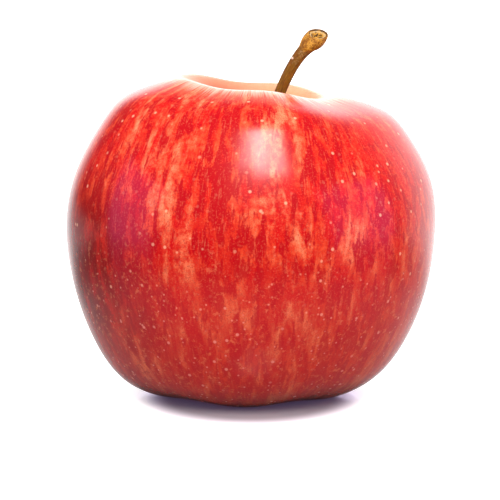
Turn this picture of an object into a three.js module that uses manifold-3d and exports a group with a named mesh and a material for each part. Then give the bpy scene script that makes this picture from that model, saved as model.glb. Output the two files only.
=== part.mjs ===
// A whole apple, built the way it grew: one solid fruit, the woody stem in its cavity, and
// the dried flower underneath, which is five sepals round a tuft of stamens.
//
// Millimetres, +Z up. The origin is on the resting surface, under the middle of the fruit.
// +X is to the right of the side that is built to be seen first, and that side faces -Y.

import * as THREE from 'three';
import { mergeVertices } from 'three/addons/utils/BufferGeometryUtils.js';
import Module from 'manifold-3d';

const wasm = await Module();
wasm.setup();

const { smoothstep, degToRad } = THREE.MathUtils;

// ---------------------------------------------------------------- driving dimensions

const FRUIT_RADIUS = 39; // half of the width at the widest level
const FRUIT_HEIGHT = 68; // resting surface to the top of the crown

// Half outline of the fruit: control points of a uniform cubic B-spline, each a radius and
// a height as fractions of FRUIT_RADIUS and FRUIT_HEIGHT. The spline starts and ends on the
// axis, so the calyx basin and the stem cavity both close smoothly.
const BASIN_POINTS = [[0, 0.15], [0.13, 0.115], [0.25, 0.034], [0.4, 0.018]];
const FLANK_POINTS = [[0.64, 0.054], [0.807, 0.141], [0.965, 0.341], [1.017, 0.553]];
const SHOULDER_POINTS = [[0.976, 0.722], [0.82, 0.865], [0.72, 0.94], [0.46, 0.98]];
const CAVITY_POINTS = [[0.41, 0.996], [0.166, 0.838], [0.077, 0.764], [0, 0.757]];
const OUTLINE_STEPS = 3; // chords in each span of the spline
const FRUIT_SIDES = 48;

// Five carpels make five soft lobes, strongest round the crown and round the base.
const LOBES = 5;
const LOBE_TURN = degToRad(137.5); // direction of the first lobe of the crown
const BASE_LOBE_TURN = degToRad(121); // the lobes of the base are twisted a little from it
const LOBE_SWELL = 0.012; // how much a lobe widens the fruit, as a fraction
const CROWN_LOBE_RISE = 0.4;
const BASE_LOBE_DROP = 0.35;

// An apple grows unevenly: its crown leans back, stands higher on the left, and one flank
// hangs lower than the other.
const CROWN_RISE = 2.15;
const CROWN_RISE_TURN = degToRad(192);
const CROWN_LEAN = new THREE.Vector2(0.8, 2.2);
const CAVITY_SHIFT = 2.4; // the cavity floor is further right than the crown
const FLANK_RISE = 0.6;
const FLANK_RISE_TURN = degToRad(-10);

// The lowest part of each base lobe is pressed flat by this much where the fruit rests.
const REST_FLAT = 0.35;

// Pieces that touch are kept this far apart.
const GAP = 0.3;

// Stem: offsets from the floor of the cavity.
const STEM_RISE = 23.8;
const STEM_REACH = 10.95;
const STEM_SHAPE = [[0, 0], [0.219, 0.34], [0.507, 0.838], [1, 1]]; // fractions of reach and rise
const STEM_SIDES = 14;
const KNOB_HEIGHT = 2.8;
const KNOB_SLANT = degToRad(33); // the knob's body leans with the shank
const KNOB_FRONT_TILT = degToRad(27); // its cut end faces up and to the front
const KNOB_SIDE_TILT = degToRad(5); // and a little to the side that the stem leans to
// Radius of the stem at fractions of the shank's length, then at 1 plus fractions of the
// knob's height.
const STEM_RADII = [
  [0, 1.75], [0.06, 1.45], [0.2, 1.22], [0.45, 1.18], [0.7, 1.22], [0.8, 1.26], [0.87, 1.34],
  [0.92, 1.5], [0.96, 1.85], [1, 2.3], [1.2, 2.45], [1.5, 2.45], [1.8, 2.3], [2, 2.1],
];

// Dried calyx.
const SEPALS = 5;
const SEPAL_WIDTH = 3.2;
const SEPAL_THICKNESS = 0.5;
const SEPAL_SIDES = 10;
const SEPAL_STEPS = 12;
const SEPAL_SHOULDER = 0.2; // a sepal is widest at this fraction of its length
const SEPAL_TAPER = 0.6;
const SEPAL_CUP = 0.16; // how strongly a sepal is hollowed across its width, per mm
// Curve of a sepal: distance out from the axis, and drop below the basin floor.
const SEPAL_CURVE = [[3.1, 1.9], [2.1, 4.2], [2.5, 7.4], [6.6, 5.8]];
const SEPAL_TURN = degToRad(85); // sepals stand between the base lobes

const STAMENS = 10; // one in the middle and the rest round it
const STAMEN_LENGTH = 3.6;
const STAMEN_RADIUS = 0.18;
const STAMEN_SPREAD = degToRad(16);
const STAMEN_SIDES = 6;
const TUFT_RADIUS = 1;
const TUFT_DEPTH = 0.5;

const MERGE_DISTANCE = 1e-4;

// ---------------------------------------------------------------- outline and fruit

// Points along a uniform cubic B-spline. Both ends are mirrored across the axis.
function splineOutline(controls, stepsPerSpan) {
  const mirror = (point) => [-point[0], point[1]];
  const padded = [mirror(controls[1]), ...controls, mirror(controls.at(-2))];
  const spans = controls.length - 1;
  const outline = [];
  for (let step = 0; step <= spans * stepsPerSpan; step++) {
    const span = Math.min(Math.floor(step / stepsPerSpan), spans - 1);
    const u = step / stepsPerSpan - span;
    const weights = [
      (1 - u) ** 3,
      3 * u ** 3 - 6 * u ** 2 + 4,
      -3 * u ** 3 + 3 * u ** 2 + 3 * u + 1,
      u ** 3,
    ];
    const sum = (axis) => weights.reduce((total, w, k) => total + w * padded[span + k][axis], 0);
    outline.push(new THREE.Vector2((sum(0) / 6) * FRUIT_RADIUS, (sum(1) / 6) * FRUIT_HEIGHT));
  }
  return outline;
}

// Moves a point of the plain round fruit to where the lobed, leaning fruit has it.
function growUnevenly(point) {
  const radius = Math.hypot(point.x, point.y);
  const angle = Math.atan2(point.y, point.x);
  const level = point.z / FRUIT_HEIGHT;
  const low = 1 - smoothstep(level, 0, 0.5);
  const high = smoothstep(level, 0.5, 1);
  const lobe = Math.cos(LOBES * (angle - LOBE_TURN));
  const baseLobe = Math.cos(LOBES * (angle - BASE_LOBE_TURN));

  const swollen = radius * (1 + LOBE_SWELL * (lobe * high + baseLobe * low));
  const crown = CROWN_LOBE_RISE * lobe + CROWN_RISE * Math.cos(angle - CROWN_RISE_TURN);
  const flank = FLANK_RISE * Math.cos(angle - FLANK_RISE_TURN);
  const lowLobe = smoothstep(radius, 4, 14) * (1 - smoothstep(radius, 20, 34));
  const cavity = 1 - smoothstep(radius, 3, 15);

  return new THREE.Vector3(
    swollen * Math.cos(angle) + (CROWN_LEAN.x + CAVITY_SHIFT * cavity) * high,
    swollen * Math.sin(angle) + CROWN_LEAN.y * high,
    point.z + high * crown * smoothstep(radius, 0, 18)
      + low * (flank * smoothstep(radius, 14, 30) - BASE_LOBE_DROP * baseLobe * lowLobe),
  );
}

// Calls change(point) on every vertex of a geometry and stores what it returns.
function reshape(geometry, change) {
  const position = geometry.attributes.position;
  for (let i = 0; i < position.count; i++) {
    const moved = change(new THREE.Vector3().fromBufferAttribute(position, i));
    position.setXYZ(i, moved.x, moved.y, moved.z);
  }
  position.needsUpdate = true;
  geometry.computeVertexNormals();
  geometry.computeBoundingBox();
  return geometry;
}

function fruitGeometry(outline) {
  const geometry = new THREE.LatheGeometry(outline, FRUIT_SIDES).rotateX(Math.PI / 2);
  return reshape(geometry, growUnevenly);
}

const outline = splineOutline(
  [...BASIN_POINTS, ...FLANK_POINTS, ...SHOULDER_POINTS, ...CAVITY_POINTS],
  OUTLINE_STEPS,
);
const fruit = fruitGeometry(outline);

// Everything is shifted so that the fruit stands on z = 0, centred on the origin.
const settle = fruit.boundingBox.getCenter(new THREE.Vector3()).negate();
settle.z = -fruit.boundingBox.min.z - REST_FLAT;
reshape(fruit, (point) => {
  point.add(settle);
  point.z = Math.max(point.z, 0);
  return point;
});

const polePoint = (pole) => growUnevenly(new THREE.Vector3(0, 0, pole.y)).add(settle);
const basinFloor = polePoint(outline[0]);
const cavityFloor = polePoint(outline.at(-1));

// ---------------------------------------------------------------- stem

// A lathed rod bent along a curve. Its rings lie square to the curve in the shank and turn
// to face up in the knob, whose body leans with the shank.
function stemGeometry() {
  const start = cavityFloor.clone().add(new THREE.Vector3(0, 0, GAP));
  const knots = STEM_SHAPE.map(([reach, rise]) =>
    start.clone().add(new THREE.Vector3(reach * STEM_REACH, 0, rise * STEM_RISE)));
  const spine = new THREE.CubicBezierCurve3(...knots);
  const up = new THREE.Vector3(
    Math.sin(KNOB_SIDE_TILT), -Math.sin(KNOB_FRONT_TILT), Math.cos(KNOB_FRONT_TILT)).normalize();
  const slant = new THREE.Vector3(Math.sin(KNOB_SLANT), 0, Math.cos(KNOB_SLANT));
  const sideways = new THREE.Vector3(0, 1, 0);

  const profile = [
    new THREE.Vector2(0, 0),
    ...STEM_RADII.map(([along, radius]) => new THREE.Vector2(radius, along)),
    new THREE.Vector2(0, 2),
  ];
  const rod = new THREE.LatheGeometry(profile, STEM_SIDES).rotateX(Math.PI / 2);
  return reshape(rod, (point) => {
    const along = Math.min(point.z, 1);
    const aboveShank = Math.max(point.z - 1, 0) * KNOB_HEIGHT;
    const facing = smoothstep(along, 0.78, 1);
    const foot = 1 - smoothstep(along, 0, 0.15);
    const axis = spine.getTangent(along).lerp(up, facing);
    axis.lerp(new THREE.Vector3(0, 0, 1), foot).normalize();
    const across = new THREE.Vector3().crossVectors(sideways, axis).normalize();
    const depth = new THREE.Vector3().crossVectors(axis, across);
    return spine.getPoint(along)
      .addScaledVector(slant, aboveShank)
      .addScaledVector(across, point.x)
      .addScaledVector(depth, point.y);
  });
}

// ---------------------------------------------------------------- calyx

// A narrow leaf with a thin, lens-shaped section. It hangs from the basin floor, and its
// tip curls outwards.
function sepalGeometry() {
  const knots = SEPAL_CURVE.map(([out, drop]) => new THREE.Vector3(out, 0, basinFloor.z - drop));
  const spine = new THREE.CubicBezierCurve3(...knots);
  const profile = [];
  for (let step = 0; step <= SEPAL_STEPS; step++) {
    const along = step / SEPAL_STEPS;
    const opening = Math.min(along / SEPAL_SHOULDER, 1);
    const width = Math.sqrt(Math.sin((opening * Math.PI) / 2)) * (1 - along) ** SEPAL_TAPER;
    profile.push(new THREE.Vector2((width * SEPAL_WIDTH) / 2, along));
  }
  const sideways = new THREE.Vector3(0, 1, 0);
  const leaf = new THREE.LatheGeometry(profile, SEPAL_SIDES).rotateX(Math.PI / 2);
  return reshape(leaf, (point) => {
    const along = point.z;
    const inward = new THREE.Vector3().crossVectors(sideways, spine.getTangent(along));
    const thickness = (point.x * SEPAL_THICKNESS) / SEPAL_WIDTH;
    return spine.getPoint(along)
      .addScaledVector(sideways, point.y)
      .addScaledVector(inward, thickness + SEPAL_CUP * point.y ** 2);
  });
}

// manifold-3d solid of a closed three.js geometry.
function toSolid(geometry) {
  const bare = geometry.clone();
  bare.deleteAttribute('normal');
  bare.deleteAttribute('uv');
  const merged = mergeVertices(bare, MERGE_DISTANCE);
  return new wasm.Manifold(new wasm.Mesh({
    numProp: 3,
    vertProperties: new Float32Array(merged.attributes.position.array),
    triVerts: new Uint32Array(merged.index.array),
  }));
}

// three.js geometry of a manifold-3d solid.
function fromSolid(solid) {
  const mesh = solid.getMesh();
  const geometry = new THREE.BufferGeometry();
  geometry.setAttribute('position', new THREE.BufferAttribute(mesh.vertProperties, 3));
  geometry.setIndex(new THREE.BufferAttribute(mesh.triVerts, 1));
  geometry.computeVertexNormals();
  return geometry;
}

// Thin filaments that spread downwards from one small pad under the basin floor.
function stamenGeometry() {
  const pad = new THREE.CylinderGeometry(TUFT_RADIUS, TUFT_RADIUS * 0.8, TUFT_DEPTH, 12);
  pad.rotateX(Math.PI / 2).translate(0, 0, -TUFT_DEPTH / 2);
  let tuft = toSolid(pad);
  for (let i = 0; i < STAMENS; i++) {
    const filament = new THREE.CylinderGeometry(
      STAMEN_RADIUS, STAMEN_RADIUS * 0.7, STAMEN_LENGTH, STAMEN_SIDES,
    );
    filament.rotateX(Math.PI / 2).translate(0, 0, -STAMEN_LENGTH / 2 - TUFT_DEPTH / 3);
    const ring = i === 0 ? 0 : 1;
    filament.rotateY(-ring * STAMEN_SPREAD).translate(ring * TUFT_RADIUS * 0.55, 0, 0);
    filament.rotateZ((i * 2 * Math.PI) / (STAMENS - 1));
    tuft = tuft.add(toSolid(filament));
  }
  return fromSolid(tuft);
}

// ---------------------------------------------------------------- scene graph

const skin = new THREE.MeshStandardMaterial({ color: 0xc8302a, roughness: 0.3, metalness: 0 });
const bark = new THREE.MeshStandardMaterial({ color: 0x8a5a22, roughness: 0.75, metalness: 0 });
const dryLeaf = new THREE.MeshStandardMaterial({ color: 0x5c4630, roughness: 0.9, metalness: 0 });
const dryThread = new THREE.MeshStandardMaterial({ color: 0x3b2a1c, roughness: 0.9, metalness: 0 });

function part(name, geometry, material) {
  const mesh = new THREE.Mesh(geometry, material);
  mesh.name = name;
  return mesh;
}

const apple = new THREE.Group();
apple.name = 'apple';
apple.add(part('fruit', fruit, skin), part('stem', stemGeometry(), bark));

const calyx = new THREE.Group();
calyx.position.set(basinFloor.x, basinFloor.y, 0);
for (let i = 0; i < SEPALS; i++) {
  const sepal = part(`sepal_${i + 1}`, sepalGeometry(), dryLeaf);
  sepal.rotation.z = SEPAL_TURN + (i * 2 * Math.PI) / SEPALS;
  calyx.add(sepal);
}
const stamens = part('dried_stamens', stamenGeometry(), dryThread);
stamens.position.z = basinFloor.z - GAP;
calyx.add(stamens);
apple.add(calyx);

export default apple;
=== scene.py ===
from math import cos, pi, radians, sin, tan

import bpy
import numpy as np
from bpy.props import FloatProperty, FloatVectorProperty, IntProperty, PointerProperty
from bpy.types import Operator, Panel, PropertyGroup
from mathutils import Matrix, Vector


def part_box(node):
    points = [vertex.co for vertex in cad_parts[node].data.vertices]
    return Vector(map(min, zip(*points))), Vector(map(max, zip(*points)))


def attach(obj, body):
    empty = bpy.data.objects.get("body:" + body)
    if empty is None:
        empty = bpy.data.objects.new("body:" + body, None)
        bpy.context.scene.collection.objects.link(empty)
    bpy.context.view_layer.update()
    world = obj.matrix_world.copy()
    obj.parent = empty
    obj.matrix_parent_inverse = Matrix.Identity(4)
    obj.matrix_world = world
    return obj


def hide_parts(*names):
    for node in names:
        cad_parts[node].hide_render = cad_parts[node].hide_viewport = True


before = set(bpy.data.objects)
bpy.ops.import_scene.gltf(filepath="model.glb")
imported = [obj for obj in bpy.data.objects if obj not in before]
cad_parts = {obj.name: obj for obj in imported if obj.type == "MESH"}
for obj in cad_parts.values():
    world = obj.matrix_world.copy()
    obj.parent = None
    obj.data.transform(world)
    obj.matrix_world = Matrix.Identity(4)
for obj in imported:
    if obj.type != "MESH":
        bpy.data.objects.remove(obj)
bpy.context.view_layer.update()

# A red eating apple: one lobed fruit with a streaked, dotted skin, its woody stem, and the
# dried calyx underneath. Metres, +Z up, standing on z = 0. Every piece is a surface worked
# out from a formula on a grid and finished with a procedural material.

bl_info = {
    "name": "Apple",
    "version": (1, 0, 0),
    "blender": (4, 5, 0),
    "location": "View3D > Sidebar > Apple",
    "description": "Builds an apple with its stem and calyx round the packed frame",
    "category": "Add Mesh",
}

BODY = "root"
MM = 0.001
FRUIT_LOW, FRUIT_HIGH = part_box("fruit")

# ------------------------------------------------------------------ sizes of the fruit

# Half outline: control points of a uniform cubic B-spline, each a radius and a height as
# fractions of half the fruit's width and of its height.
BASIN_POINTS = [(0, 0.15), (0.13, 0.115), (0.25, 0.034), (0.4, 0.018)]
FLANK_POINTS = [(0.64, 0.054), (0.807, 0.141), (0.965, 0.341), (1.017, 0.553)]
SHOULDER_POINTS = [(0.976, 0.722), (0.82, 0.865), (0.72, 0.94), (0.46, 0.98)]
CAVITY_POINTS = [(0.41, 0.996), (0.166, 0.838), (0.077, 0.764), (0, 0.757)]
OUTLINE = BASIN_POINTS + FLANK_POINTS + SHOULDER_POINTS + CAVITY_POINTS
FRUIT_ROWS = 250
FRUIT_COLUMNS = 320

LOBES = 5
LOBE_TURN = radians(137.5)
BASE_LOBE_TURN = radians(121)
CROWN_RISE_TURN = radians(192)
CROWN_LEAN = (0.8 * MM, 2.2 * MM)
CAVITY_SHIFT = 2.4 * MM
FLANK_RISE_TURN = radians(-10)
CROWN_BAND = (0, 18 * MM)  # radii between which the crown's rise begins
CAVITY_BAND = (3 * MM, 15 * MM)  # radii between which the cavity's shift fades
FLANK_BAND = (14 * MM, 30 * MM)  # radii between which the flank's rise begins
BASE_LOBE_START = (4 * MM, 14 * MM)  # radii between which the lobes of the base begin
BASE_LOBE_STOP = (20 * MM, 34 * MM)  # radii between which they end
REST_FLAT = 0.35 * MM
REST_BLEND = 0.1 * MM  # how softly the flat spots run into the curve of the base
CAVITY_REACH = 50 * MM  # length of skin, from the middle, that the cavity's colour covers
BASIN_REACH = 24 * MM
STREAK_RADIUS = 33 * MM  # the streaks lie round a tube of this size, so they taper to the poles

# ------------------------------------------------------------------ sizes of the stem

# Outline of the stem, in mm: radius, and length along the stem from where it leaves the
# flesh. It runs up the shank, over the knob, and into the dished cut end.
STEM_FOOT_POINTS = [(0, -0.8), (1.3, -0.8), (1.75, 0), (1.45, 1.6), (1.22, 5.2), (1.18, 9)]
SHANK_POINTS = [(1.18, 13), (1.21, 17.5), (1.26, 20.4), (1.33, 22.5), (1.5, 24), (1.85, 25)]
KNOB_POINTS = [(2.25, 25.8), (2.46, 26.5), (2.48, 27.2), (2.36, 28), (2.2, 28.55), (2, 28.8)]
CUT_END_POINTS = [(1.8, 28.6), (1.6, 28.25), (1.3, 28.4), (0.9, 28.05), (0.4, 28.3), (0, 28.15)]
STEM_OUTLINE = STEM_FOOT_POINTS + SHANK_POINTS + KNOB_POINTS + CUT_END_POINTS
SHANK_LENGTH = 26 * MM
CUT_START = 1.03  # lengths of the shank, past which a ring can belong to the cut end
KNOB_RIM = 2.02 * MM
STEM_SHAPE = [(0, 0), (0.219, 0.34), (0.507, 0.838), (1, 1)]  # fractions of reach and rise
STEM_FOOT_GAP = 0.3 * MM
STEM_ROWS = 280
STEM_COLUMNS = 96
SCAR_ALONG = 20.6 * MM
SCAR_SIDE = radians(215)
SCAR_LENGTH = 0.36 * MM
SCAR_WIDTH = 0.42  # radians

# ------------------------------------------------------------------ sizes of the calyx

SEPALS = 5
SEPAL_TURN = radians(85)
SEPAL_SHOULDER = 0.2
SEPAL_TAPER = 0.6
SEPAL_CUP = 160.0  # hollow across the width, per metre
SEPAL_CURVE = [(3.1 * MM, 1.6 * MM), (2.1 * MM, 4.2 * MM), (2.5 * MM, 7.4 * MM), (6.6 * MM, 5.8 * MM)]
SEPAL_LENGTH = 8 * MM
SEPAL_BEND = 0.7 * MM
SEPAL_RIB = 0.16 * MM
SEPAL_RIB_WIDTH = 0.22 * MM
SEPAL_CRUMPLE = 0.17 * MM
SEPAL_ROWS = 90
SEPAL_COLUMNS = 64

STAMEN_TURN = radians(137.5)
STAMEN_RADIUS = 0.1 * MM
STAMEN_SPREAD = 0.95 * MM
STAMEN_BEND = 0.5 * MM
STAMEN_ROOT = 0.6 * MM
STAMEN_ROWS = 40
STAMEN_COLUMNS = 10

# ------------------------------------------------------------------ sizes of the studio

# Softboxes: degrees to the right of the front, degrees above the floor, and the width and
# the height in degrees.
KEY_BOX = (4, 45, 34, 34)
KEY_GLOW_BOX = (15, 61, 20, 22)
KEY_GLOW_SIDE_BOX = (-5, 63, 14, 16)
LEFT_BOX = (-78, 16, 34, 40)
RIGHT_BOX = (73, 16, 47, 40)
BOX_DISTANCE = 0.6
KEY_TINT = (1, 0.98, 0.96)
KEY_GLOW_TINT = (1, 0.97, 0.95)
KEY_GLOW_SIDE_SHARE = 0.7
BACK_TURN = radians(20)  # how far the bright back is turned to the right

FLOOR_CORNERS = 128
LIT_FLOOR_HEIGHT = -0.05 * MM
POLISH_EDGE = (21 * MM, 32 * MM)  # where the polish under the fruit starts and ends to fade
POLISH_FORWARD = 8 * MM
POLISH_SIDES = 1.25
UNDER_GLOW_STRENGTH = 0.1


def paint(red, green, blue):
    """Linear colour of a display colour given as three whole numbers up to 255."""
    display = np.array([red, green, blue]) / 255
    linear = np.where(display <= 0.04045, display / 12.92, ((display + 0.055) / 1.055) ** 2.4)
    return (*linear.tolist(), 1.0)


# ------------------------------------------------------------------ shape formulas

def smooth(low, high, value):
    """0 below low and 1 above high, with a smooth cubic step between."""
    t = np.clip((value - low) / (high - low), 0, 1)
    return t * t * (3 - 2 * t)


def circle(count):
    """Evenly spaced angles of one full turn."""
    return np.arange(count) * 2 * pi / count


def stacked(*parts):
    """The parts, spread to one shape and put together as vectors."""
    return np.stack(np.broadcast_arrays(*parts), axis=-1)


def turned(points, turn):
    """The points, turned by an angle round the vertical axis."""
    x = points[..., 0] * cos(turn) - points[..., 1] * sin(turn)
    y = points[..., 0] * sin(turn) + points[..., 1] * cos(turn)
    return np.stack([x, y, points[..., 2]], axis=-1)


def around(across, depth, angle):
    """Directions round a curve: cosine of the angle across it and sine in its depth."""
    return across[:, None] * np.cos(angle)[:, None] + depth[:, None] * np.sin(angle)[:, None]


def spline_outline(controls, count):
    """Evenly spaced points on a uniform cubic B-spline whose ends mirror across the axis.

    Each span blends four neighbouring control points with the cubic B-spline weights. The
    curve is sampled closely and then spaced again by its length.
    """
    points = np.array(controls, float)
    flip = np.array([-1, 1])
    padded = np.vstack([points[1] * flip, points, points[-2] * flip])
    spans = len(points) - 1
    t = np.linspace(0, spans, count * 8)
    span = np.minimum(t.astype(int), spans - 1)
    u = (t - span)[:, None]
    weights = [
        (1 - u) ** 3,
        3 * u**3 - 6 * u**2 + 4,
        -3 * u**3 + 3 * u**2 + 3 * u + 1,
        u**3,
    ]
    curve = sum(w * padded[span + k] for k, w in enumerate(weights)) / 6
    curve[[0, -1], 0] = 0
    length = np.concatenate([[0], np.cumsum(np.linalg.norm(np.diff(curve, axis=0), axis=1))])
    even = np.linspace(0, length[-1], count)
    outline = np.stack([np.interp(even, length, curve[:, k]) for k in (0, 1)], axis=1)
    return outline, even


def bezier(knots, t):
    """Points and unit headings of a cubic Bezier curve at the parameters t."""
    k = np.array(knots, float)
    t = t[:, None]
    s = 1 - t
    point = s**3 * k[0] + 3 * s**2 * t * k[1] + 3 * s * t**2 * k[2] + t**3 * k[3]
    heading = s**2 * (k[1] - k[0]) + 2 * s * t * (k[2] - k[1]) + t**2 * (k[3] - k[2])
    return point, unit(heading)


def unit(vectors):
    """The vectors, each divided by its length."""
    return vectors / np.linalg.norm(vectors, axis=-1, keepdims=True)


def fruit_surface(sizes):
    """Rings of points on the fruit, with the skin's own coordinates and zones.

    The outline is turned round the axis. Five cosine lobes swell it at the crown and the
    base. A cosine of the angle raises one shoulder and one flank, the crown leans, and two
    slow waves keep the flank from being perfectly round. The base is then pressed flat
    where it rests, and the whole is stretched to fill the box of the CAD node.
    """
    scale = np.array([sizes.width / 2, sizes.height])
    outline, run = spline_outline(np.array(OUTLINE) * scale, FRUIT_ROWS)
    angle = circle(FRUIT_COLUMNS)
    radius, height = outline[:, 0][:, None], outline[:, 1][:, None]

    level = height / sizes.height
    low, high = 1 - smooth(0, 0.5, level), smooth(0.5, 1, level)
    lobe = np.cos(LOBES * (angle - LOBE_TURN))
    base_lobe = np.cos(LOBES * (angle - BASE_LOBE_TURN))
    wave = np.sin(3 * angle + 1.1) * np.sin(9 * level + 0.4)
    ripple = np.sin(8 * angle - 0.6 + 4 * level) * np.sin(13 * level)
    swell = 1 + sizes.lobe_swell * (lobe * high + base_lobe * low)
    swell += sizes.unevenness * (wave + 0.5 * ripple)

    crown = sizes.crown_lobe_rise * lobe + sizes.crown_rise * np.cos(angle - CROWN_RISE_TURN)
    flank = sizes.flank_rise * np.cos(angle - FLANK_RISE_TURN)
    low_lobe = smooth(*BASE_LOBE_START, radius) * (1 - smooth(*BASE_LOBE_STOP, radius))
    cavity = 1 - smooth(*CAVITY_BAND, radius)
    rise = high * crown * smooth(*CROWN_BAND, radius)
    drop = sizes.base_lobe_drop * base_lobe * low_lobe
    rise += low * (flank * smooth(*FLANK_BAND, radius) - drop)

    x = radius * swell * np.cos(angle) + (CROWN_LEAN[0] + CAVITY_SHIFT * cavity) * high
    y = radius * swell * np.sin(angle) + CROWN_LEAN[1] * high
    z = height + rise
    z = z - z.min() - REST_FLAT
    z = (z + np.sqrt(z * z + REST_BLEND**2)) / 2
    rings = stacked(x, y, z)

    low_corner, high_corner = rings.min((0, 1)), rings.max((0, 1))
    share = (rings - low_corner) / (high_corner - low_corner)
    rings = np.array(FRUIT_LOW) + share * (np.array(FRUIT_HIGH) - np.array(FRUIT_LOW))

    flow = stacked(STREAK_RADIUS * np.cos(angle), STREAK_RADIUS * np.sin(angle), run[:, None])
    cavity_zone = np.clip(1 - (run[-1] - run[:, None]) / CAVITY_REACH, 0, 1)
    basin_zone = np.clip(1 - run[:, None] / BASIN_REACH, 0, 1)
    zone = stacked(cavity_zone + 0 * angle, basin_zone, level)
    return rings, {"skin_flow": flow, "skin_zone": zone}


def stem_surface(sizes, root):
    """Rings of points on the stem, with the bark's own coordinates and zones.

    A B-spline outline is carried along a cubic Bezier curve in the shank, and along one
    slanting line in the knob. Its rings lie flat at the foot, square to the curve in the
    shank, and turn by a smooth step to the way that the cut end faces. Twisted sine ridges
    run along the bark, slower and deeper waves make the knob uneven, and one bell-shaped
    swelling is the scar of a bract.
    """
    outline, _ = spline_outline(np.array(STEM_OUTLINE) * MM, STEM_ROWS)
    radius, along = outline[:, 0][:, None], outline[:, 1]
    angle = circle(STEM_COLUMNS)
    up = np.array([0, 0, 1])
    knots = [root + np.array([a * sizes.reach, 0, b * sizes.rise]) for a, b in STEM_SHAPE]
    share = np.clip(along / SHANK_LENGTH, 0, 1)
    spine, heading = bezier(knots, share)
    cut_facing = unit(np.array([sin(sizes.side_tilt), -sin(sizes.front_tilt), cos(sizes.front_tilt)]))
    slant = np.array([sin(sizes.knob_slant), 0, cos(sizes.knob_slant)])
    spine = spine + np.minimum(along, 0)[:, None] * up
    spine = spine + np.maximum(along - SHANK_LENGTH, 0)[:, None] * slant

    facing = smooth(0.78, 1, share)[:, None]
    foot = 1 - smooth(0, 0.15, share)[:, None]
    axis = unit(heading * (1 - facing) + cut_facing * facing)
    axis = unit(axis * (1 - foot) + up * foot)
    across = unit(np.cross(np.array([0, 1, 0]), axis))
    depth = np.cross(axis, across)

    column = along[:, None] / SHANK_LENGTH
    knob = smooth(0.9, 1.02, column)
    ridge = np.sin(9 * angle + 3 * np.sin(4 * column)) + 0.6 * np.sin(17 * angle - 11 * column)
    lump = np.sin(3 * angle + 0.8) + 0.7 * np.sin(5 * angle - 2.1 + 9 * column)
    wear = 0.018 * ridge * (1 - 0.5 * knob) + 0.022 * lump * knob
    around_scar = (angle - SCAR_SIDE + pi) % (2 * pi) - pi
    from_scar = (along[:, None] - SCAR_ALONG) / SCAR_LENGTH
    scar = np.exp(-from_scar**2 - (around_scar / SCAR_WIDTH) ** 2)
    round_radius = radius * (1 + wear + 0.14 * scar)

    rings = spine[:, None] + around(across, depth, angle) * round_radius[..., None]
    cut = column > CUT_START
    face = (1 - smooth(KNOB_RIM - 0.15 * MM, KNOB_RIM, radius)) * cut
    flow = stacked(radius * np.cos(angle), radius * np.sin(angle), along[:, None])
    zone = stacked(face, scar, knob + radius / KNOB_RIM * cut)
    return rings, {"bark_flow": flow, "bark_zone": zone}


def sepal_surface(sizes, index, basin):
    """Rings of points on one sepal.

    A pointed leaf outline, a sine that opens quickly and a power that tapers, sets the
    width. The section is a thin lens, hollowed across by a parabola, and it is carried
    along a cubic Bezier curve that hangs from the basin floor and curls outwards. Waves
    along the margin crumple it, a little differently on each sepal.
    """
    along = np.linspace(0, 1, SEPAL_ROWS)
    angle = circle(SEPAL_COLUMNS)
    curl = 1 + 0.14 * sin(2.3 * index + 0.5)
    drop = 1 + 0.07 * sin(1.7 * index)
    knots = [(out, 0, -fall) for out, fall in SEPAL_CURVE]
    knots[2] = (knots[2][0], 0, knots[2][2] * drop)
    knots[3] = (knots[3][0] * curl, SEPAL_BEND * sin(3.1 * index), knots[3][2])
    spine, heading = bezier(knots, along)
    sideways = np.array([0, 1, 0])
    inward = unit(np.cross(sideways, heading))

    opening = np.sin(np.minimum(along / SEPAL_SHOULDER, 1) * pi / 2) ** 0.5
    width = sizes.sepal_width / 2 * opening * (1 - along) ** SEPAL_TAPER
    across = width[:, None] * np.sin(angle)
    margin = np.abs(np.sin(angle)) ** 2
    across = across * (1 + 0.05 * margin * np.sin(26 * along[:, None] + index))
    rib = SEPAL_RIB * np.exp(-((across / SEPAL_RIB_WIDTH) ** 2)) * (width / width.max())[:, None]
    lens = width[:, None] * np.cos(angle) * sizes.sepal_thickness / sizes.sepal_width
    crumple = SEPAL_CRUMPLE * margin * np.sin(19 * along[:, None] + 2 * index)
    crumple = crumple * np.sign(np.sin(angle)) * (along * (1 - along) * 4)[:, None]
    hollow = SEPAL_CUP * across**2 + crumple - rib * (np.cos(angle) < 0)
    rings = spine[:, None] + sideways * across[..., None]
    rings = rings + inward[:, None] * (lens + hollow)[..., None]
    flow = stacked(across, lens, along[:, None] * SEPAL_LENGTH)
    return turned(rings, SEPAL_TURN + index * 2 * pi / SEPALS) + basin, {"leaf_flow": flow}


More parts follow.
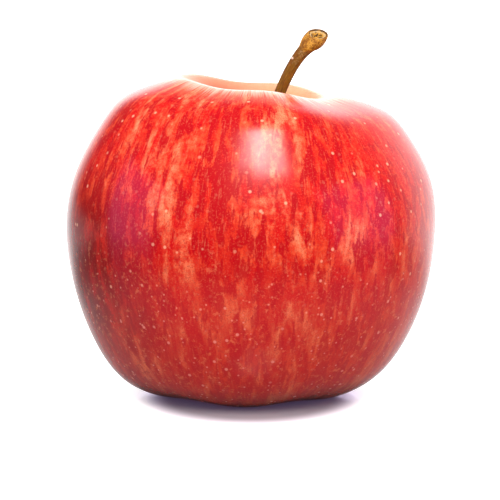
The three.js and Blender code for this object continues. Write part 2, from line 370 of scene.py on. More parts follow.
def stamen_surface(sizes, index, basin):
    """Rings of points on one dried stamen.

    A thin tube is carried along a cubic Bezier curve that leans outwards, and it ends in a
    shrivelled egg-shaped anther. Each stamen in turn is turned on by the golden angle.
    """
    along = np.linspace(0, 1, STAMEN_ROWS)
    angle = circle(STAMEN_COLUMNS)
    lean = 0.35 + 0.65 * ((index * 0.37) % 1)
    length = sizes.stamen_length * (0.75 + 0.25 * sin(1.9 * index + 0.4))
    start = STAMEN_SPREAD * lean
    bend = STAMEN_BEND * sin(2.7 * index)
    knots = [
        (start, 0, STAMEN_ROOT),
        (start * 1.15, bend, -length * 0.35),
        (start * 1.5, -bend, -length * 0.7),
        (start * 1.7 + 0.2 * MM, bend, -length),
    ]
    spine, heading = bezier(knots, along)
    sideways = np.broadcast_to(np.array([0.0, 1, 0]), heading.shape)
    across = unit(np.cross(sideways, heading))
    depth = np.cross(heading, across)
    anther = np.sin(pi * smooth(0.8, 1, along)) ** 0.6
    radius = STAMEN_RADIUS * (1 - 0.3 * along) + sizes.anther_radius * anther
    radius = radius * np.sqrt(np.clip(1 - ((along - 0.5) * 2) ** 40, 0, 1))
    wrinkle = 1 + 0.16 * np.sin(3 * angle + 20 * along[:, None] + index)
    rings = spine[:, None] + around(across, depth, angle) * (radius[:, None] * wrinkle)[..., None]
    return turned(rings, index * STAMEN_TURN) + basin


# ------------------------------------------------------------------ meshes

def ring_faces(rows, columns, first):
    """Corner numbers of a closed surface made of rings with one point at each end.

    Quads join neighbouring rings and a fan of triangles closes each end. The first point
    is the low pole, then come rows - 2 rings, then the high pole.
    """
    column = np.arange(columns)
    beside = (column + 1) % columns
    ring = first + 1 + np.arange(rows - 3)[:, None] * columns
    quads = np.stack([ring + column, ring + beside, ring + columns + beside, ring + columns + column], -1)
    low = np.full(columns, first)
    top_ring = first + 1 + (rows - 3) * columns
    high = np.full(columns, top_ring + columns)
    low_fan = np.stack([low, first + 1 + beside, first + 1 + column], axis=-1)
    high_fan = np.stack([high, top_ring + column, top_ring + beside], axis=-1)
    return low_fan.tolist() + quads.reshape(-1, 4).tolist() + high_fan.tolist()


def close_ends(rings):
    """One row of points: the first ring as one point, every inner ring, the last as one."""
    return np.vstack([rings[0].mean(0)[None], rings[1:-1].reshape(-1, 3), rings[-1].mean(0)[None]])


def make_piece(name, surfaces, nodes, material):
    """A mesh object from one or more closed surfaces, riding on the frame's one body.

    surfaces is a list of (rings, attributes), where attributes holds one vector for each
    point of the rings. The object stands for the CAD nodes given.
    """
    points, faces, layers = [], [], {}
    for rings, attributes in surfaces:
        rows, columns = rings.shape[:2]
        faces += ring_faces(rows, columns, sum(map(len, points)))
        points.append(close_ends(rings))
        for key, values in attributes.items():
            layers.setdefault(key, []).append(close_ends(values))
    mesh = bpy.data.meshes.new(name)
    mesh.from_pydata(np.vstack(points).tolist(), [], faces)
    mesh.polygons.foreach_set("use_smooth", np.ones(len(faces), bool))
    for key, values in layers.items():
        layer = mesh.attributes.new(key, "FLOAT_VECTOR", "POINT")
        layer.data.foreach_set("vector", np.vstack(values).astype(np.float32).ravel())
    mesh.update()
    mesh.materials.append(material)
    piece = bpy.data.objects.new(name, mesh)
    bpy.context.scene.collection.objects.link(piece)
    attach(piece, BODY)
    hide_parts(*nodes)
    return piece


# ------------------------------------------------------------------ materials

class NodeSheet:
    """One node tree, with short ways to add and join nodes.

    Most methods return the output socket of the node that they add. Their values are
    sockets, which get joined, or constants, which are set on the node itself.
    """

    def __init__(self, tree):
        self.tree = tree
        self.tree.nodes.clear()

    def add(self, kind, **settings):
        """A new node of this kind, with its settings."""
        node = self.tree.nodes.new(kind)
        for key, value in settings.items():
            setattr(node, key, value)
        return node

    def feed(self, socket, value):
        """Joins value to the socket if it is a socket, and otherwise sets the socket to it."""
        if isinstance(value, bpy.types.NodeSocket):
            self.tree.links.new(value, socket)
        else:
            socket.default_value = value

    def joined(self, kind, *values, **settings):
        """A new node of this kind, with the values fed to its first sockets in turn."""
        node = self.add(kind, **settings)
        for socket, value in zip(node.inputs, values):
            self.feed(socket, value)
        return node

    def metres(self):
        """Place on the object."""
        return self.add("ShaderNodeTexCoord").outputs["Object"]

    def millimetres(self):
        """Place on the object, in millimetres."""
        return self.scaled(self.metres(), (1 / MM,) * 3)

    def attribute(self, name):
        """A vector that the mesh holds for each of its points."""
        return self.add("ShaderNodeAttribute", attribute_name=name).outputs["Vector"]

    def scaled(self, vector, scale):
        """The vector times a constant in each direction."""
        node = self.joined("ShaderNodeMapping", vector)
        node.inputs["Scale"].default_value = scale
        return node.outputs[0]

    def drawn_out(self, flow, squeeze):
        """Millimetres along the flow, squeezed lengthwise, so that a noise on it is long."""
        return self.scaled(flow, (1 / MM, 1 / MM, squeeze / MM))

    def split(self, vector):
        """The three parts of a vector."""
        return self.joined("ShaderNodeSeparateXYZ", vector).outputs

    def noise(self, vector, scale, detail=3.0, roughness=0.5, distortion=0.0):
        """Cloudy noise from 0 to 1, mostly near a half."""
        node = self.joined("ShaderNodeTexNoise", vector)
        node.inputs["Scale"].default_value = scale
        node.inputs["Detail"].default_value = detail
        node.inputs["Roughness"].default_value = roughness
        node.inputs["Distortion"].default_value = distortion
        return node.outputs[0]

    def dots(self, vector, scale, edge, core, kept):
        """Soft round dots on scattered points; only the share called kept is strong."""
        node = self.joined("ShaderNodeTexVoronoi", vector)
        node.inputs["Scale"].default_value = scale
        chance = self.split(node.outputs["Color"])[0]
        there = self.span(chance, 1 - kept - 0.1, 1 - kept + 0.1, 0.15, 1.0)
        return self.times(self.span(node.outputs["Distance"], edge, core), there)

    def span(self, value, low, high, to_low=0.0, to_high=1.0):
        """value's place between low and high, as a smooth step from to_low to to_high."""
        ends = (low, high, to_low, to_high)
        return self.joined("ShaderNodeMapRange", value, *ends, interpolation_type="SMOOTHSTEP").outputs[0]

    def maths(self, operation, a, b=0.0):
        """a and b, joined by one operation."""
        return self.joined("ShaderNodeMath", a, b, operation=operation).outputs[0]

    def plus(self, *values):
        """The sum of the values."""
        total = values[0]
        for value in values[1:]:
            total = self.maths("ADD", total, value)
        return total

    def minus(self, value, less):
        """value less another."""
        return self.maths("SUBTRACT", value, less)

    def times(self, *values):
        """The product of the values."""
        product = values[0]
        for value in values[1:]:
            product = self.maths("MULTIPLY", product, value)
        return product

    def swing(self, noise, size):
        """A noise's swing about its middle, times size."""
        return self.times(self.minus(noise, 0.5), size)

    def mix(self, share, under, over):
        """The colour under, with a share of the colour over it."""
        node = self.add("ShaderNodeMix", data_type="RGBA", blend_type="MIX")
        self.feed(node.inputs[0], share)
        self.feed(node.inputs[6], under)
        self.feed(node.inputs[7], over)
        return node.outputs[2]

    def bump(self, height, distance, strength):
        """A normal that follows the height."""
        node = self.add("ShaderNodeBump")
        node.inputs["Strength"].default_value = strength
        node.inputs["Distance"].default_value = distance
        self.feed(node.inputs["Height"], height)
        return node.outputs[0]

    def from_axis(self, x, y):
        """Distance of the place x, y from the vertical axis."""
        return self.maths("SQRT", self.plus(self.times(x, x), self.times(y, y)))


class MaterialSheet(NodeSheet):
    """The node tree of one new material."""

    def __init__(self, name):
        self.material = bpy.data.materials.new(name)
        self.material.use_nodes = True
        super().__init__(self.material.node_tree)

    def show(self, shader):
        """Joins the shader to the material's surface and returns the material."""
        self.joined("ShaderNodeOutputMaterial", shader.outputs[0])
        return self.material

    def finish(self, colour, roughness, normal=None, **constants):
        """Adds the shader with this colour, roughness and normal, and sets its other sockets."""
        shader = self.add("ShaderNodeBsdfPrincipled")
        self.feed(shader.inputs["Base Color"], colour)
        self.feed(shader.inputs["Roughness"], roughness)
        if normal is not None:
            self.feed(shader.inputs["Normal"], normal)
        for key, value in constants.items():
            shader.inputs[key.replace("_", " ")].default_value = value
        return self.show(shader)


def skin_material(looks):
    """Waxy skin: red streaks from the stem to the base, pale breaks and pale dots.

    The streaks are noises drawn out along the flow of the skin. One palette is used above
    and a duller one towards the base. Painted shade darkens one side and a band at the base.
    """
    s = MaterialSheet("apple_skin")
    place = s.millimetres()
    flow = s.attribute("skin_flow")
    cavity, basin, level = s.split(s.attribute("skin_zone"))

    broad = s.noise(s.drawn_out(flow, 0.4), 0.09, 2, 0.5)
    streak = s.noise(s.drawn_out(flow, 0.3), 0.38, 3, 0.56, 0.5)
    drop = s.noise(s.drawn_out(flow, 0.32), 0.6, 3, 0.5, 0.4)
    fibre = s.noise(s.drawn_out(flow, 0.14), 2.3, 3, 0.6)
    grain = s.noise(place, 2.5, 2, 0.6)
    mottle = s.noise(place, 0.8, 5, 0.72)

    low = s.span(s.plus(level, s.swing(broad, 0.5)), 0.66, 0.26)
    # Painted shade: the side mask darkens the left flank. There the blush, flushes and streaks turn to a
    # deep painted-shade crimson, and pale breaks and flecks thin out.
    x = s.split(flow)[0]
    side = s.span(x, -12 * MM, -32 * MM)
    side = s.times(side, s.span(level, 0.8, 0.5), s.span(level, 0.12, 0.35, 0.4, 1.0))
    right = s.times(s.span(x, 6 * MM, 30 * MM), s.span(level, 0.5, 0.75))
    red = s.mix(side, s.mix(low, looks.red, looks.low_red), looks.painted_shade_red)
    orange = s.mix(side, s.mix(low, looks.orange, looks.low_orange), looks.deep_red)
    deep = s.mix(side, looks.deep_red, looks.painted_shade_red)
    pale = s.mix(low, looks.peach, looks.low_peach)

    # Red ground with orange flushes, then pale breaks.
    speckle = s.swing(grain, 0.25)
    flush = s.plus(s.times(streak, 0.6), s.times(mottle, 0.5), speckle)
    flush = s.minus(flush, s.times(right, 0.06))
    colour = s.mix(s.span(flush, 0.46, 0.66), red, orange)
    breaks = s.plus(s.times(streak, 0.4), s.times(broad, 0.35), s.times(mottle, 0.25), speckle)
    breaks = s.minus(breaks, s.times(side, 0.08))
    breaks = s.minus(breaks, s.times(right, 0.08))
    colour = s.mix(s.times(s.span(breaks, 0.497, 0.64), 0.8), colour, pale)

    # Dark drops, then fine fibres, grains and, in the lower half, a mottle; last, painted shade darkens a
    # band along the base.
    dark = s.plus(s.times(drop, 0.78), s.times(fibre, 0.12), s.times(mottle, 0.14), s.times(speckle, 0.5))
    dark = s.minus(dark, s.swing(broad, 0.4))
    strength = s.span(low, 0.0, 1.0, 0.95, 0.75)
    colour = s.mix(s.times(s.span(dark, 0.505, 0.6), strength), colour, deep)
    colour = s.mix(s.times(s.span(fibre, 0.54, 0.7), 0.3), colour, deep)
    # Fewer pale fibres and grains on the left flank, under its painted shade.
    outside_painted_shade = s.minus(1.0, s.times(side, 0.85))
    colour = s.mix(s.times(s.span(fibre, 0.44, 0.3), outside_painted_shade, 0.2), colour, pale)
    colour = s.mix(s.times(s.span(grain, 0.53, 0.64), 0.65), colour, deep)
    colour = s.mix(s.times(s.span(grain, 0.46, 0.32), outside_painted_shade, 0.15), colour, pale)
    colour = s.mix(s.times(s.span(mottle, 0.52, 0.66), low, 0.7), colour, deep)
    colour = s.mix(s.times(s.span(mottle, 0.46, 0.34), low, 0.5), colour, pale)
    # Painted shade: the lowest band of the fruit is darkened towards the deep painted-shade crimson.
    colour = s.mix(s.times(s.span(level, 0.12, 0.03), 0.5), colour, looks.painted_shade_red)

    # The cavity is pale at its rim and tan inside, with a combed edge and russet at the stem.
    across, forward, _ = s.split(place)
    wander = s.swing(s.noise(s.drawn_out(flow, 0.02), 0.4, 3, 0.6), 0.2)
    combed = s.swing(s.noise(s.drawn_out(flow, 0.03), 2.0, 4, 0.75), 0.2)
    fringe = s.plus(cavity, s.times(wander, 0.5), combed)
    wall = s.mix(s.span(across, -8, 14), looks.wall, looks.warm_wall)
    far_rim = s.mix(s.span(across, -8, 12), looks.far_rim, looks.warm_rim)
    rim = s.mix(s.span(forward, -12, 14), looks.rim, far_rim)
    inside = s.mix(s.span(cavity, 0.54, 0.66), rim, wall)
    inside = s.mix(s.span(cavity, 0.64, 0.85), inside, looks.cavity)
    inside = s.mix(s.times(s.span(fibre, 0.45, 0.65), 0.2), inside, looks.low_peach)
    colour = s.mix(s.times(s.span(fringe, 0.36, 0.5), 0.45), colour, looks.low_peach)
    colour = s.mix(s.span(fringe, 0.44, 0.54), colour, inside)
    russet = s.times(s.span(cavity, 0.86, 0.97), s.span(grain, 0.35, 0.65))
    colour = s.mix(russet, colour, looks.russet)
    base_fringe = s.plus(basin, wander)
    colour = s.mix(s.times(s.span(base_fringe, 0.3, 0.6), 0.85), colour, looks.cavity)

    # Pale dots, some left faint at random: large ones all over, and small ones below.
    large = s.dots(place, 0.42, 0.2, 0.08, 0.34)
    small = s.times(s.dots(place, 0.8, 0.24, 0.1, 0.28), s.span(level, 0.65, 0.35))
    dots = s.maths("MAXIMUM", large, s.times(small, 0.8))
    colour = s.mix(s.times(dots, 0.7), colour, s.mix(low, looks.dot, looks.low_dot))

    height = s.plus(s.times(s.noise(place, 1.5, 2, 0.5), 0.5), s.times(grain, 0.15))
    height = s.plus(height, s.plus(s.times(dots, 0.25), s.times(streak, 0.5)))
    roughness = s.span(s.plus(grain, s.times(dots, 0.5)), 0.3, 1.1, 0.19, 0.34)
    return s.finish(
        colour, roughness, s.bump(height, 0.05 * MM, 0.6),
        IOR=1.4, Specular_IOR_Level=0.3,
        Coat_Weight=0.3, Coat_Roughness=0.16, Coat_IOR=1.4,
        Subsurface_Weight=0.06, Subsurface_Radius=(1.6, 0.5, 0.25), Subsurface_Scale=1.2 * MM,
    )


def bark_material(looks):
    """Dry bark with long ridges, a pale scar, and a cut end with rings of crumbling pith."""
    s = MaterialSheet("stem_bark")
    place = s.millimetres()
    flow = s.attribute("bark_flow")
    face, scar, ring = s.split(s.attribute("bark_zone"))
    long_grain = s.noise(s.drawn_out(flow, 0.16), 2.4, 4, 0.6, 0.4)
    patches = s.noise(place, 0.5, 3, 0.55)
    specks = s.noise(place, 3.4, 3, 0.65)
    knob = s.span(s.plus(ring, s.swing(patches, 2.5)), 0.3, 1.1)
    along = s.split(flow)[2]

    colour = s.mix(s.span(patches, 0.4, 0.6), looks.bark, looks.olive)
    colour = s.mix(s.times(s.span(long_grain, 0.5, 0.34), 0.8), colour, looks.bark_dark)
    colour = s.mix(s.times(s.span(long_grain, 0.52, 0.7), 0.8), colour, looks.bark_light)
    scuffed = s.times(s.span(along, 18 * MM, 21 * MM), s.span(patches, 0.46, 0.6))
    colour = s.mix(s.times(scuffed, s.span(specks, 0.4, 0.6), 0.55), colour, looks.scuff)
    swirl = s.plus(s.times(patches, 0.5), s.times(specks, 0.5))
    skin = s.mix(s.span(swirl, 0.42, 0.58), looks.knob, looks.knob_light)
    skin = s.mix(s.times(s.span(specks, 0.48, 0.34), 0.5), skin, looks.bark_dark)
    colour = s.mix(s.times(knob, 0.9), colour, skin)

    # The cut end: a dark groove inside its rim, a pale ring, then crumbling pith.
    rough_ring = s.plus(ring, s.swing(swirl, 0.5))
    crumbs = s.plus(s.times(specks, 0.6), s.times(s.noise(place, 1.1, 2, 0.5), 0.4))
    pith = s.mix(s.span(crumbs, 0.48, 0.56), looks.crack, looks.knob_light)
    pale_ring = s.times(s.span(rough_ring, 1.6, 1.68), s.span(rough_ring, 1.86, 1.78))
    pith = s.mix(s.times(pale_ring, 0.9), pith, looks.pith)
    pith = s.mix(s.times(s.span(rough_ring, 1.84, 1.9), 0.85), pith, looks.crack)
    colour = s.mix(face, colour, pith)
    colour = s.mix(s.span(scar, 0.35, 0.75), colour, looks.scar)

    normal = s.bump(s.plus(s.times(long_grain, 0.7), s.times(specks, 0.5)), 0.2 * MM, 0.9)
    roughness = s.span(specks, 0.2, 0.8, 0.4, 0.7)
    return s.finish(colour, roughness, normal, IOR=1.45, Specular_IOR_Level=0.25)


def leaf_material(looks):
    """Shrivelled brown sepal, grey and downy, with fine veins."""
    s = MaterialSheet("dried_sepal")
    place = s.millimetres()
    veins = s.noise(s.drawn_out(s.attribute("leaf_flow"), 0.2), 3.4, 3, 0.6, 0.5)
    down = s.noise(place, 6.0, 3, 0.7)
    colour = s.mix(s.span(veins, 0.35, 0.65), looks.leaf_dark, looks.leaf)
    colour = s.mix(s.times(s.span(down, 0.5, 0.72), 0.7), colour, looks.down)
    normal = s.bump(s.plus(veins, s.times(down, 0.6)), 0.12 * MM, 0.9)
    return s.finish(colour, 0.85, normal, Specular_IOR_Level=0.2, Sheen_Weight=0.3)


def stamen_material(looks):
    """Dark, dry threads and anthers."""
    s = MaterialSheet("dried_stamen")
    specks = s.noise(s.millimetres(), 5.0, 3, 0.6)
    colour = s.mix(s.span(specks, 0.35, 0.65), looks.leaf_dark, looks.stamen)
    return s.finish(colour, 0.8, s.bump(specks, 0.06 * MM, 0.8), Specular_IOR_Level=0.2)


def seen_floor_material(looks):
    """White tabletop, glowing a little so that it stays plain white away from the fruit.

    A polish is strong in an oval under the fruit and weak outside it, and the glow is weak
    and tinted under the fruit and strong outside, both by one smooth step of the distance.
    """
    s = MaterialSheet("seen_floor")
    x, y, _ = s.split(s.metres())
    distance = s.from_axis(s.times(x, POLISH_SIDES), s.plus(y, POLISH_FORWARD))
    polish = s.span(distance, *POLISH_EDGE, looks.polish_under, looks.floor_polish)
    matt = s.joined("ShaderNodeBsdfDiffuse", (*[looks.floor_white] * 3, 1))
    gloss = s.joined("ShaderNodeBsdfGlossy", looks.polish_tint, looks.floor_roughness)
    blend = s.joined("ShaderNodeMixShader", polish, matt.outputs[0], gloss.outputs[0])

    outside = s.span(distance, *POLISH_EDGE)
    tint = s.mix(outside, looks.under_glow, (1, 1, 1, 1))
    strength = s.times(outside, looks.floor_glow - UNDER_GLOW_STRENGTH)
    glow = s.joined("ShaderNodeEmission", tint, s.plus(strength, UNDER_GLOW_STRENGTH))
    return s.show(s.joined("ShaderNodeAddShader", blend.outputs[0], glow.outputs[0]))


def lit_floor_material(looks):
    """The same tabletop as the fruit sees it: one grey near it, one beyond, one far behind."""
    s = MaterialSheet("lit_floor")
    x, y, _ = s.split(s.metres())
    far = s.span(y, 30 * MM, 200 * MM, looks.floor_side, looks.floor_back)
    beyond = s.span(s.from_axis(x, y), 70 * MM, 140 * MM)
    grey = s.plus(s.times(s.minus(far, looks.floor_bounce), beyond), looks.floor_bounce)
    return s.finish(grey, looks.floor_roughness, IOR=1.5)


# ------------------------------------------------------------------ settings

def length_value(name, description, default):
    """A setting in metres."""
    return FloatProperty(name=name, description=description, default=default, unit="LENGTH", precision=5)


def angle_value(name, description, degrees):
    """A setting that is an angle."""
    return FloatProperty(name=name, description=description, default=radians(degrees), subtype="ANGLE")


def plain_value(name, description, default):
    """A setting without a unit, such as a share or a brightness."""
    return FloatProperty(name=name, description=description, default=default, subtype="FACTOR", soft_max=2)


def colour_value(name, default):
    """A colour setting."""
    return FloatVectorProperty(
        name=name, description=f"Colour of the {name.lower()}", default=default,
        subtype="COLOR", size=4, min=0, max=1,
    )


class AppleFruitSettings(PropertyGroup):
    width: length_value("Width", "Width of the fruit", FRUIT_HIGH.x - FRUIT_LOW.x)
    height: length_value("Height", "Height of the fruit without its stem", FRUIT_HIGH.z - FRUIT_LOW.z)
    crown_rise: length_value("Crown rise", "How much one shoulder is higher", 2.15 * MM)
    crown_lobe_rise: length_value("Crown lobes", "Height of the five lobes of the crown", 0.4 * MM)
    base_lobe_drop: length_value("Base lobes", "Depth of the five lobes that it rests on", 0.35 * MM)
    flank_rise: length_value("Flank rise", "How much one flank is higher", 0.6 * MM)
    lobe_swell: plain_value("Lobe swell", "How much a lobe widens the fruit", 0.012)
    unevenness: plain_value("Unevenness", "Depth of the slow waves in the flank", 0.0016)
    red: colour_value("Blush", paint(208, 14, 14))
    orange: colour_value("Orange flushes", paint(232, 74, 38))
    peach: colour_value("Pale breaks", paint(244, 150, 108))
    deep_red: colour_value("Dark streaks", paint(182, 0, 16))
    low_red: colour_value("Blush of the lower half", paint(194, 14, 16))
    low_orange: colour_value("Orange flushes of the lower half", paint(216, 54, 30))
    low_peach: colour_value("Pale breaks of the lower half", paint(232, 118, 76))
    # Painted shade: the deep crimson that darkens the left flank and the band along the base.
    painted_shade_red: colour_value("Deepest blush, on one side", paint(112, 3, 5))
    rim: colour_value("Skin at the rim of the cavity", paint(234, 184, 166))
    far_rim: colour_value("Far left of the cavity rim", paint(214, 144, 114))
    warm_rim: colour_value("Far right of the cavity rim", paint(226, 176, 140))
    wall: colour_value("Skin of the cavity wall", paint(180, 92, 70))
    warm_wall: colour_value("Sunny side of the cavity wall", paint(214, 166, 112))
    cavity: colour_value("Skin in the cavity", paint(198, 134, 70))
    russet: colour_value("Russet round the stem", paint(168, 120, 58))
    dot: colour_value("Pale dots", paint(246, 178, 140))
    low_dot: colour_value("Pale dots of the lower half", paint(232, 138, 118))


class AppleStemSettings(PropertyGroup):
    rise: length_value("Rise", "Height of the knob above the foot", 23.8 * MM)
    reach: length_value("Reach", "How far the stem leans to the right", 10.95 * MM)
    knob_slant: angle_value("Slant of the knob", "How far the knob's body leans to the right", 33)
    front_tilt: angle_value("Tilt to the front", "How far the cut end faces the front", 27)
    side_tilt: angle_value("Tilt to the side", "How far the cut end faces the right", 5)
    bark: colour_value("Bark", paint(122, 71, 0))
    bark_dark: colour_value("Furrows of the bark", paint(78, 42, 0))
    bark_light: colour_value("Ridges of the bark", paint(160, 101, 20))
    olive: colour_value("Greener bark", paint(120, 78, 0))
    scuff: colour_value("Scuffed bark", paint(172, 132, 92))
    knob: colour_value("Knob", paint(146, 86, 6))
    knob_light: colour_value("Lit side of the knob", paint(206, 144, 44))
    pith: colour_value("Pith of the cut end", paint(204, 166, 110))
    crack: colour_value("Cracks of the cut end", paint(70, 40, 10))
    scar: colour_value("Bract scar", paint(216, 190, 172))


class AppleCalyxSettings(PropertyGroup):
    sepal_width: length_value("Sepal width", "Widest part of a sepal", 3.2 * MM)
    sepal_thickness: length_value("Sepal thickness", "Thickest part of a sepal", 0.35 * MM)
    stamen_length: length_value("Stamen length", "Length of the longest stamen", 4.2 * MM)
    anther_radius: length_value("Anther radius", "Radius of a dried anther", 0.2 * MM)
    stamens: IntProperty(name="Stamens", description="Number of stamens", default=16, min=1)
    leaf: colour_value("Sepal", paint(134, 108, 74))
    leaf_dark: colour_value("Dark of a sepal", paint(64, 44, 28))
    down: colour_value("Down on a sepal", paint(186, 172, 142))
    stamen: colour_value("Stamen", paint(92, 66, 40))


class AppleStudioSettings(PropertyGroup):
    distance: length_value("Camera distance", "From the camera to the fruit", 0.65)
    elevation: angle_value("Camera elevation", "Angle of the camera above the floor", 8)
    lens: FloatProperty(name="Lens", description="Focal length", default=220.7, unit="CAMERA")
    aim_height: length_value("Aim height", "Height that the camera looks at", 30.4 * MM)
    aim_side: length_value("Aim to the side", "Distance right of the middle that it looks at", -0.2 * MM)
    floor_radius: length_value("Floor radius", "Radius of the round floor", 3.0)
    floor_white: plain_value("Floor whiteness", "Matt reflection of the floor that is seen", 0.95)
    floor_bounce: plain_value("Floor bounce", "Matt reflection of the floor that lights the fruit", 0.4)
    floor_glow: plain_value("Floor glow", "Light from below the table, away from the fruit", 0.6)
    polish_tint: colour_value("Polish tint", paint(228, 210, 240))
    under_glow: colour_value("Glow under the fruit", paint(160, 130, 200))
    floor_side: plain_value("Floor bounce at the sides", "The same far from the fruit", 0.12)
    floor_back: plain_value("Floor bounce at the back", "The same far behind the fruit", 0.95)
    floor_polish: plain_value("Floor polish", "Share of light that the floor mirrors", 0.06)
    polish_under: plain_value("Polish under the fruit", "The same close to the fruit", 0.7)
    floor_roughness: plain_value("Floor roughness", "Blur of the floor's reflection", 0.08)
    matt_base: plain_value("Matt light in front", "Brightness of the surround in front", 1.1)
    matt_back: plain_value("Matt light behind", "What the back adds to it", 0.6)
    matt_left: plain_value("Matt light at the left", "What the left adds to it", 0.15)
    matt_right: plain_value("Matt light at the right", "What the right adds to it", 0.3)
    matt_top: plain_value("Matt light overhead", "What the top adds to it", 0.1)
    gloss_front: plain_value("Gloss in front", "Brightness mirrored from the front", 0.02)
    gloss_back: plain_value("Gloss behind", "Brightness mirrored from the back", 1.7)
    gloss_high_back: plain_value("Gloss high behind", "What the high back adds to it", 0.4)
    key_light: plain_value("Key light", "Radiance of the softbox for matt surfaces", 6.1)
    key_glow: plain_value("Key glow", "Radiance of the softbox in the gloss", 16.0)
    side_glow: plain_value("Side glow", "Radiance of the side boxes in the gloss", 1.7)
    side_tint: colour_value("Side boxes", (0.9, 0.36, 1, 1))


# ------------------------------------------------------------------ stage

def point_at(thing, target):
    """Turns a light or the camera so that it looks at the target."""
    direction = Vector(target) - Vector(thing.location)
    thing.rotation_euler = direction.to_track_quat("-Z", "Y").to_euler()


def softbox(name, place, radiance, tint, lights):
    """A square-on rectangular light at BOX_DISTANCE from the fruit.

    place is its direction and size, as the constants above give them. lights says whether
    it lights the matt part of surfaces or shows in their gloss: "matt" or "gloss".
    """
    side, height = radians(place[0]), radians(place[1])
    across, up = (2 * BOX_DISTANCE * tan(radians(degrees) / 2) for degrees in place[2:])
    light = bpy.data.lights.new(name, "AREA")
    light.shape = "RECTANGLE"
    light.size = across
    light.size_y = up
    light.energy = radiance * pi * across * up
    light.color = tint
    box = bpy.data.objects.new(name, light)
    aim = Vector((0, 0, FRUIT_HIGH.z / 2))
    toward = Vector((sin(side) * cos(height), -cos(side) * cos(height), sin(height)))
    box.location = aim + toward * BOX_DISTANCE
    box.visible_camera = False
    box.visible_diffuse = lights == "matt"
    box.visible_glossy = lights == "gloss"
    bpy.context.scene.collection.objects.link(box)
    point_at(box, aim)
    return box


def keep_off(box, surface):
    """Stops a light from falling on one surface, so that its tint doesn't show there."""
    group = bpy.data.collections.new(f"{box.name}_skips")
    group.objects.link(surface)
    box.light_linking.receiver_collection = group
    group.collection_objects[0].light_linking.link_state = "EXCLUDE"


def make_floor(name, height, material, radius, seen):
    """A flat round plate under the fruit.

    The seen plate shows to the camera only, whiter than white as in a bright exposure. The
    other plate, just below it, is the one that bounces light and shows in the gloss.
    """
    angle = circle(FLOOR_CORNERS)
    rim = stacked(radius * np.cos(angle), radius * np.sin(angle), height)
    mesh = bpy.data.meshes.new(name)
    mesh.from_pydata(rim.tolist(), [], [list(range(FLOOR_CORNERS))])
    mesh.materials.append(material)
    floor = bpy.data.objects.new(name, mesh)
    floor.visible_camera = seen
    floor.visible_shadow = not seen
    floor.visible_diffuse = not seen
    floor.visible_glossy = not seen
    bpy.context.scene.collection.objects.link(floor)
    return floor


def make_surround(looks):
    """White to the eye; matt surfaces and gloss are lit by two soft gradients.

    The matt light is a base plus smooth steps towards the back, both sides and overhead.
    The gloss mirrors a dim front, a bright back that is turned a little to the right and
    fades overhead, and an extra glow straight behind, above the horizon.
    """
    world = bpy.data.worlds.new("white_surround")
    bpy.context.scene.world = world
    world.use_nodes = True
    s = NodeSheet(world.node_tree)
    right, back, up = s.split(s.add("ShaderNodeTexCoord").outputs["Generated"])
    behind = s.span(back, -0.2, 0.8, looks.matt_base, looks.matt_base + looks.matt_back)
    from_right = s.span(right, 0.1, 0.9, 0.0, looks.matt_right)
    from_left = s.span(right, -0.1, -0.9, 0.0, looks.matt_left)
    matt = s.plus(behind, from_right, from_left, s.span(up, 0.2, 0.95, 0.0, looks.matt_top))

    turned_back = s.plus(s.times(back, cos(BACK_TURN)), s.times(right, sin(BACK_TURN)))
    low_back = s.times(s.span(turned_back, 0.5, 0.86), s.span(up, 0.8, 0.45), looks.gloss_back)
    high_back = s.times(s.span(back, 0.75, 0.95), s.span(up, 0.05, 0.3), looks.gloss_high_back)
    gloss = s.plus(low_back, looks.gloss_front, high_back)

    rays = s.add("ShaderNodeLightPath").outputs
    lit = s.mix(rays["Is Glossy Ray"], matt, gloss)
    shade = s.joined("ShaderNodeBackground", s.mix(rays["Is Camera Ray"], lit, (1, 1, 1, 1)))
    s.joined("ShaderNodeOutputWorld", shade.outputs[0])


def make_camera(looks):
    """A long lens, a little above the floor, in front of the fruit."""
    data = bpy.data.cameras.new("camera")
    data.lens = looks.lens
    data.clip_start = 0.01
    data.clip_end = 20
    camera = bpy.data.objects.new("camera", data)
    bpy.context.scene.collection.objects.link(camera)
    target = np.array([looks.aim_side, 0, looks.aim_height])
    back = np.array([0, -cos(looks.elevation), sin(looks.elevation)])
    camera.location = target + back * looks.distance
    point_at(camera, target)
    bpy.context.scene.camera = camera


# ------------------------------------------------------------------ operators

class APPLE_OT_fruit(Operator):
    """Make the fruit and its skin"""

    bl_idname = "apple.fruit"
    bl_label = "Fruit"

    def execute(self, context):
        looks = context.scene.apple_fruit
        make_piece("apple_fruit", [fruit_surface(looks)], ["fruit"], skin_material(looks))
        return {"FINISHED"}


class APPLE_OT_stem(Operator):
    """Make the woody stem with its knob, scar and dished cut end"""

    bl_idname = "apple.stem"
    bl_label = "Stem"

    def execute(self, context):
        looks = context.scene.apple_stem
        rings, _ = fruit_surface(context.scene.apple_fruit)
        root = rings[-1].mean(0) + np.array([0, 0, STEM_FOOT_GAP])
        make_piece("apple_stem", [stem_surface(looks, root)], ["stem"], bark_material(looks))
        return {"FINISHED"}


class APPLE_OT_calyx(Operator):
    """Make the five dried sepals and the tuft of stamens in the basin"""

    bl_idname = "apple.calyx"
    bl_label = "Calyx"

    def execute(self, context):
        looks = context.scene.apple_calyx
        rings, _ = fruit_surface(context.scene.apple_fruit)
        basin = rings[0].mean(0)
        leaf = leaf_material(looks)
        for index in range(SEPALS):
            surface = sepal_surface(looks, index, basin)
            make_piece(f"apple_sepal_{index + 1}", [surface], [f"sepal_{index + 1}"], leaf)
        threads = [(stamen_surface(looks, index, basin), {}) for index in range(looks.stamens)]
        make_piece("apple_stamens", threads, ["dried_stamens"], stamen_material(looks))
        return {"FINISHED"}


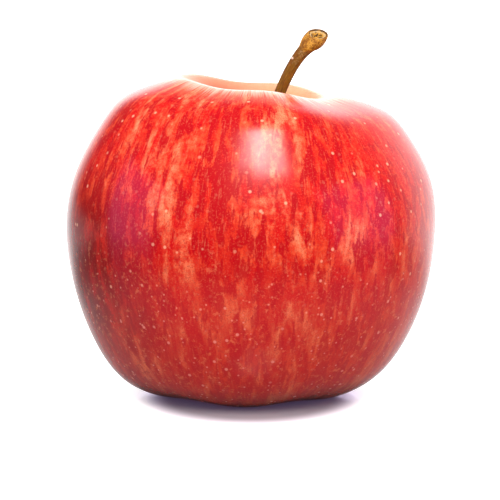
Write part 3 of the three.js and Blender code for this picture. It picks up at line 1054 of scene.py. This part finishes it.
class APPLE_OT_studio(Operator):
    """Make the floor, the soft lights, the white surround and the camera"""

    bl_idname = "apple.studio"
    bl_label = "Studio"

    def execute(self, context):
        looks = context.scene.apple_studio
        make_floor("lit_floor", LIT_FLOOR_HEIGHT, lit_floor_material(looks), looks.floor_radius, False)
        floor = make_floor("seen_floor", 0.0, seen_floor_material(looks), looks.floor_radius, True)
        make_surround(looks)
        softbox("key_box", KEY_BOX, looks.key_light, KEY_TINT, "matt")
        softbox("key_glow", KEY_GLOW_BOX, looks.key_glow, KEY_GLOW_TINT, "gloss")
        side_share = looks.key_glow * KEY_GLOW_SIDE_SHARE
        softbox("key_glow_side", KEY_GLOW_SIDE_BOX, side_share, KEY_GLOW_TINT, "gloss")
        for name, place in (("left_box", LEFT_BOX), ("right_box", RIGHT_BOX)):
            keep_off(softbox(name, place, looks.side_glow, looks.side_tint[:3], "gloss"), floor)
        make_camera(looks)
        context.scene.view_settings.view_transform = "Standard"
        return {"FINISHED"}


class APPLE_PT_panel(Panel):
    """Lists the pieces in the 3D view's sidebar"""

    bl_idname = "APPLE_PT_panel"
    bl_label = "Apple"
    bl_space_type = "VIEW_3D"
    bl_region_type = "UI"
    bl_category = "Apple"

    def draw(self, context):
        for operator, group in PIECES:
            box = self.layout.box()
            box.operator(operator.bl_idname)
            settings = getattr(context.scene, group)
            for key in settings.bl_rna.properties.keys():
                if key not in ("rna_type", "name"):
                    box.prop(settings, key)


SETTINGS = {
    "apple_fruit": AppleFruitSettings,
    "apple_stem": AppleStemSettings,
    "apple_calyx": AppleCalyxSettings,
    "apple_studio": AppleStudioSettings,
}
PIECES = [
    (APPLE_OT_fruit, "apple_fruit"),
    (APPLE_OT_stem, "apple_stem"),
    (APPLE_OT_calyx, "apple_calyx"),
    (APPLE_OT_studio, "apple_studio"),
]


def register():
    for name, group in SETTINGS.items():
        bpy.utils.register_class(group)
        setattr(bpy.types.Scene, name, PointerProperty(type=group))
    for operator, _ in PIECES:
        bpy.utils.register_class(operator)
    bpy.utils.register_class(APPLE_PT_panel)


def unregister():
    bpy.utils.unregister_class(APPLE_PT_panel)
    for operator, _ in PIECES:
        bpy.utils.unregister_class(operator)
    for name, group in SETTINGS.items():
        delattr(bpy.types.Scene, name)
        bpy.utils.unregister_class(group)


def main():
    register()
    bpy.ops.apple.fruit()
    bpy.ops.apple.stem()
    bpy.ops.apple.calyx()
    bpy.ops.apple.studio()


if __name__ == "__main__":
    main()
